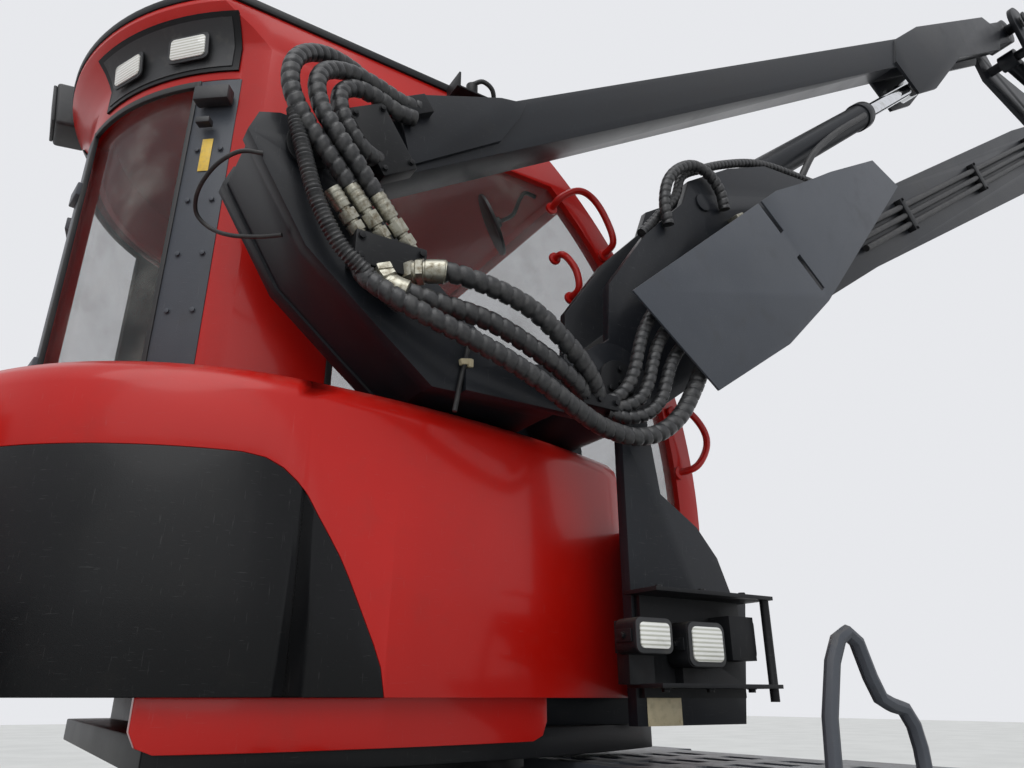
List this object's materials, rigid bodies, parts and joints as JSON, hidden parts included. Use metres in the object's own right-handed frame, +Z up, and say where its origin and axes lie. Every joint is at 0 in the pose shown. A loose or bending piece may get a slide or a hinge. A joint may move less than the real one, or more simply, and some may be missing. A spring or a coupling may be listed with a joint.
{
  "type": "forestry harvester",
  "caption": "Wheeled forestry harvester: bogied front frame, articulated rear frame with engine, turning cab, side-mounted parallel crane and a harvester head.",
  "frame": {"origin": "on the ground under the middle of the parked machine's bounding box", "axes": "+X forward along the machine, +Y to its left, +Z up"},
  "size_m": [13.4842, 2.8898, 6.2519],
  "materials": {
    "red_paint": "gloss",
    "black_paint": "satin",
    "grey_paint": "satin",
    "chrome_rod": "polished",
    "steel": "worn",
    "tyre_rubber": "matt",
    "hose_rubber": "matt",
    "window_glass": "clear",
    "seat_cloth": "woven",
    "black_plastic": "satin"
  },
  "bodies": {
    "chassis": {"front_frame": "black_paint", "steer_seats": "black_paint", "front_axle": "black_paint", "front_decks": "black_paint"},
    "rear": {"rear_frame": "black_paint", "steer_brackets": "black_paint", "rear_axle": "black_paint", "rear_decks": "black_paint", "engine": "grey_paint"},
    "front_wheel_l1": {"front_rim_l1": "red_paint", "front_tyre_l1": "tyre_rubber"},
    "front_wheel_l2": {"front_rim_l2": "red_paint", "front_tyre_l2": "tyre_rubber"},
    "rear_wheel_l": {"rear_rim_l": "red_paint", "rear_tyre_l": "tyre_rubber"},
    "steer_barrel_l": {"steer_barrel_l": "black_paint"},
    "steer_rod_l": {"steer_rod_l": "chrome_rod"},
    "front_wheel_r1": {"front_rim_r1": "red_paint", "front_tyre_r1": "tyre_rubber"},
    "front_wheel_r2": {"front_rim_r2": "red_paint", "front_tyre_r2": "tyre_rubber"},
    "rear_wheel_r": {"rear_rim_r": "red_paint", "rear_tyre_r": "tyre_rubber"},
    "steer_barrel_r": {"steer_barrel_r": "black_paint"},
    "steer_rod_r": {"steer_rod_r": "chrome_rod"},
    "hood": {"engine_hood": "red_paint", "hood_grille": "black_plastic"},
    "upper": {"turntable": "black_paint", "tail_cover": "red_paint", "tail_panels": "black_plastic", "lamp_shelf": "black_paint", "cab_frame": "red_paint", "cab_roof": "black_paint", "cab_glass": "window_glass", "cab_seat": "seat_cloth", "crane_pillar": "black_paint", "pillar_hoses": "hose_rubber"},
    "door": {"cab_door": "red_paint", "door_glass": "window_glass"},
    "boom": {"main_boom": "black_paint", "hose_guard": "grey_paint"},
    "link": {"tension_link": "black_paint"},
    "lift_barrel": {"lift_barrel": "black_paint"},
    "lift_rod": {"lift_rod": "chrome_rod"},
    "rocker": {"rocker": "black_paint"},
    "outer_boom": {"outer_boom": "black_paint"},
    "stick_barrel": {"stick_barrel": "black_paint"},
    "stick_rod": {"stick_rod": "chrome_rod"},
    "extension": {"extension": "black_paint"},
    "swing_link": {"swing_link": "black_paint"},
    "rotator": {"rotator": "black_paint"},
    "bracket": {"head_bracket": "red_paint"},
    "head": {"head_frame": "red_paint"},
    "feed_arm_l": {"feed_arm_l": "grey_paint"},
    "feed_roller_l": {"feed_roller_l": "steel"},
    "knife_l": {"knife_l": "steel"},
    "feed_arm_r": {"feed_arm_r": "grey_paint"},
    "feed_roller_r": {"feed_roller_r": "steel"},
    "knife_r": {"knife_r": "steel"},
    "saw_bar": {"saw_bar": "steel"}
  },
  "joints": [
    {"name": "steering", "type": "hinge", "parent": "chassis", "child": "rear", "pos_m": [-3.032, 0, 0.945], "axis": [0, 0, 1], "range_deg": [-40, 40]},
    {"name": "front_wheel_l1_spin", "type": "hinge", "parent": "chassis", "child": "front_wheel_l1", "pos_m": [-0.232, 1.095, 0.665], "axis": [0, 1, 0], "continuous": true},
    {"name": "front_wheel_l2_spin", "type": "hinge", "parent": "chassis", "child": "front_wheel_l2", "pos_m": [-1.732, 1.095, 0.665], "axis": [0, 1, 0], "continuous": true},
    {"name": "rear_wheel_l_spin", "type": "hinge", "parent": "rear", "child": "rear_wheel_l", "pos_m": [-4.982, 1.075, 0.825], "axis": [0, 1, 0], "continuous": true},
    {"name": "steer_barrel_l_pivot", "type": "hinge", "parent": "chassis", "child": "steer_barrel_l", "pos_m": [-2.232, 0.45, 0.945], "axis": [0, 0, 1], "range_deg": [-12, 12]},
    {"name": "steer_rod_l_slide", "type": "slide", "parent": "steer_barrel_l", "child": "steer_rod_l", "axis": [-0.9829, -0.1843, 0], "range_m": [-0.2, 0.2]},
    {"name": "front_wheel_r1_spin", "type": "hinge", "parent": "chassis", "child": "front_wheel_r1", "pos_m": [-0.232, -1.095, 0.665], "axis": [0, 1, 0], "continuous": true},
    {"name": "front_wheel_r2_spin", "type": "hinge", "parent": "chassis", "child": "front_wheel_r2", "pos_m": [-1.732, -1.095, 0.665], "axis": [0, 1, 0], "continuous": true},
    {"name": "rear_wheel_r_spin", "type": "hinge", "parent": "rear", "child": "rear_wheel_r", "pos_m": [-4.982, -1.075, 0.825], "axis": [0, 1, 0], "continuous": true},
    {"name": "steer_barrel_r_pivot", "type": "hinge", "parent": "chassis", "child": "steer_barrel_r", "pos_m": [-2.232, -0.45, 0.945], "axis": [0, 0, 1], "range_deg": [-12, 12]},
    {"name": "steer_rod_r_slide", "type": "slide", "parent": "steer_barrel_r", "child": "steer_rod_r", "axis": [-0.9829, 0.1843, 0], "range_m": [-0.2, 0.2]},
    {"name": "hood_tilt", "type": "hinge", "parent": "rear", "child": "hood", "pos_m": [-6.492, 0, 1.28], "axis": [0, -1, 0], "range_deg": [0, 50]},
    {"name": "slew", "type": "hinge", "parent": "chassis", "child": "upper", "pos_m": [-1.332, 0, 1.4], "axis": [0, 0, 1], "continuous": true},
    {"name": "door_hinge", "type": "hinge", "parent": "upper", "child": "door", "pos_m": [-1.692, 0.966, 2.65], "axis": [0, 0, 1], "range_deg": [0, 80]},
    {"name": "boom_lift", "type": "hinge", "parent": "upper", "child": "boom", "pos_m": [-1.032, -0.85, 2.43], "axis": [0, -1, 0], "range_deg": [-15, 30]},
    {"name": "link_pivot", "type": "hinge", "parent": "upper", "child": "link", "pos_m": [-1.972, -0.85, 2.868], "axis": [0, -1, 0], "range_deg": [-16, 31]},
    {"name": "lift_barrel_pivot", "type": "hinge", "parent": "boom", "child": "lift_barrel", "pos_m": [-0.54186, -0.85, 3.26346], "axis": [0, -1, 0], "range_deg": [-5, 6]},
    {"name": "lift_rod_slide", "type": "slide", "parent": "lift_barrel", "child": "lift_rod", "axis": [0.7757, 0, 0.6311], "range_m": [-0.26, 0.51]},
    {"name": "rocker_pivot", "type": "hinge", "parent": "boom", "child": "rocker", "pos_m": [3.9103, -0.85, 5.68885], "axis": [0, -1, 0], "range_deg": [-31, 16]},
    {"name": "stick_fold", "type": "hinge", "parent": "rocker", "child": "outer_boom", "pos_m": [4.2103, -0.85, 5.53885], "axis": [0, 1, 0], "range_deg": [-35, 45]},
    {"name": "stick_barrel_pivot", "type": "hinge", "parent": "rocker", "child": "stick_barrel", "pos_m": [3.0703, -0.85, 5.95885], "axis": [0, 1, 0], "range_deg": [-5, 5]},
    {"name": "stick_rod_slide", "type": "slide", "parent": "stick_barrel", "child": "stick_rod", "axis": [0.9943, 0, -0.1063], "range_m": [-0.19, 0.24]},
    {"name": "extend", "type": "slide", "parent": "outer_boom", "child": "extension", "axis": [0.6428, 0, -0.766], "range_m": [0, 1.2]},
    {"name": "head_swing", "type": "hinge", "parent": "extension", "child": "swing_link", "pos_m": [6.2865, -0.85, 3.06452], "axis": [0, -1, 0], "range_deg": [-35, 45]},
    {"name": "head_side_swing", "type": "hinge", "parent": "swing_link", "child": "rotator", "pos_m": [6.2865, -0.85, 2.91452], "axis": [1, 0, 0], "range_deg": [-20, 20]},
    {"name": "head_rotate", "type": "hinge", "parent": "rotator", "child": "bracket", "pos_m": [6.2865, -0.85, 2.61452], "axis": [0, 0, 1], "continuous": true},
    {"name": "head_tilt", "type": "hinge", "parent": "bracket", "child": "head", "pos_m": [6.2865, -0.85, 2.37452], "axis": [0, 1, 0], "range_deg": [0, 90]},
    {"name": "feed_arm_l_open", "type": "hinge", "parent": "head", "child": "feed_arm_l", "pos_m": [6.1765, -0.635, 1.82952], "axis": [0, 0, 1], "range_deg": [0, 40]},
    {"name": "feed_roller_l_spin", "type": "hinge", "parent": "feed_arm_l", "child": "feed_roller_l", "pos_m": [6.5065, -0.55, 1.82952], "axis": [0, 0, 1], "continuous": true},
    {"name": "knife_l_open", "type": "hinge", "parent": "head", "child": "knife_l", "pos_m": [6.1765, -0.635, 2.13452], "axis": [0, 0, 1], "range_deg": [0, 60]},
    {"name": "feed_arm_r_open", "type": "hinge", "parent": "head", "child": "feed_arm_r", "pos_m": [6.1765, -1.065, 1.82952], "axis": [0, 0, -1], "range_deg": [0, 40]},
    {"name": "feed_roller_r_spin", "type": "hinge", "parent": "feed_arm_r", "child": "feed_roller_r", "pos_m": [6.5065, -1.15, 1.82952], "axis": [0, 0, -1], "continuous": true},
    {"name": "knife_r_open", "type": "hinge", "parent": "head", "child": "knife_r", "pos_m": [6.1765, -1.065, 2.13452], "axis": [0, 0, -1], "range_deg": [0, 60]},
    {"name": "saw_swing", "type": "hinge", "parent": "head", "child": "saw_bar", "pos_m": [6.1565, -0.66, 1.14452], "axis": [0, 0, 1], "range_deg": [0, 90]}
  ],
  "couplings": [
    {"joint": "steer_barrel_l_pivot", "follows": "steering", "ratio": -0.061},
    {"joint": "steer_barrel_r_pivot", "follows": "steering", "ratio": -0.061},
    {"joint": "steer_rod_l_slide", "follows": "steering", "m_per_rad": 0.265},
    {"joint": "steer_rod_r_slide", "follows": "steering", "m_per_rad": -0.265},
    {"joint": "link_pivot", "follows": "boom_lift", "ratio": 1},
    {"joint": "rocker_pivot", "follows": "boom_lift", "ratio": -1},
    {"joint": "lift_barrel_pivot", "follows": "boom_lift", "ratio": 0.13},
    {"joint": "lift_rod_slide", "follows": "boom_lift", "m_per_rad": 0.94},
    {"joint": "stick_barrel_pivot", "follows": "stick_fold", "ratio": 0.025},
    {"joint": "stick_rod_slide", "follows": "stick_fold", "m_per_rad": 0.27},
    {"joint": "feed_arm_r_open", "follows": "feed_arm_l_open", "ratio": 1},
    {"joint": "knife_r_open", "follows": "knife_l_open", "ratio": 1}
  ]
}
